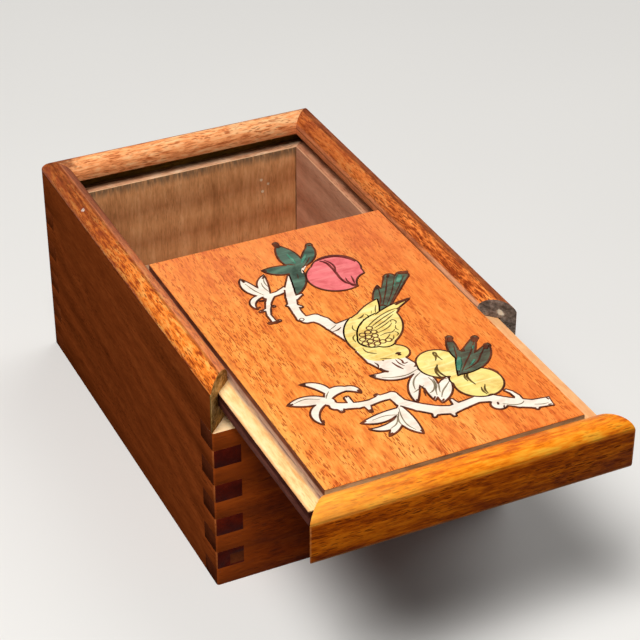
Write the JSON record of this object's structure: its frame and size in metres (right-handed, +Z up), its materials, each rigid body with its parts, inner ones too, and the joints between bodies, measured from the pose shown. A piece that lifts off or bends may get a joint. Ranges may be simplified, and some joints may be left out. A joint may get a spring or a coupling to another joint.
{
  "type": "sliding-lid trinket box",
  "caption": "Finger-jointed wooden trinket box with a half-round rim and a grooved sliding lid, drawn part way out, inlaid with a bird, branches and peaches.",
  "frame": {"origin": "middle of the footprint of the box and its drawn lid, on the surface it stands on", "axes": "+X to the right seen from the lid's front, +Y to the back of the box, +Z up"},
  "size_m": [0.135, 0.288, 0.099],
  "materials": {
    "side_wood": "satin lacquer over dark red-brown hardwood",
    "end_wood": "satin lacquer over brown hardwood",
    "lid_wood": "satin lacquer over orange hardwood",
    "rail_wood": "satin lacquer over orange-brown hardwood",
    "raw_wood": "plain planed wood",
    "white_inlay": "polished cream soapstone",
    "pink_inlay": "polished dyed soapstone",
    "green_inlay": "polished dark green soapstone",
    "yellow_inlay": "polished yellow soapstone"
  },
  "bodies": {
    "box": {"left_wall": "side_wood", "right_wall": "side_wood", "front_wall": "end_wood", "back_wall": "end_wood", "bottom_panel": "raw_wood", "groove_plugs": "raw_wood"},
    "lid": {"lid_panel": "lid_wood", "lid_rail": "rail_wood", "peach": "pink_inlay", "peach_leaves": "green_inlay", "upper_branch": "white_inlay", "upper_sprig": "white_inlay", "bird_body": "yellow_inlay", "bird_wing": "yellow_inlay", "bird_tail": "green_inlay", "bird_sprig": "white_inlay", "fruit_upper": "yellow_inlay", "fruit_lower": "yellow_inlay", "fruit_leaves": "green_inlay", "lower_branch": "white_inlay", "left_sprig": "white_inlay", "low_sprig": "white_inlay"}
  },
  "joints": [
    {"name": "lid_slide", "type": "slide", "parent": "box", "child": "lid", "axis": [0, -1, 0], "range_m": [-0.088, 0.11]}
  ]
}
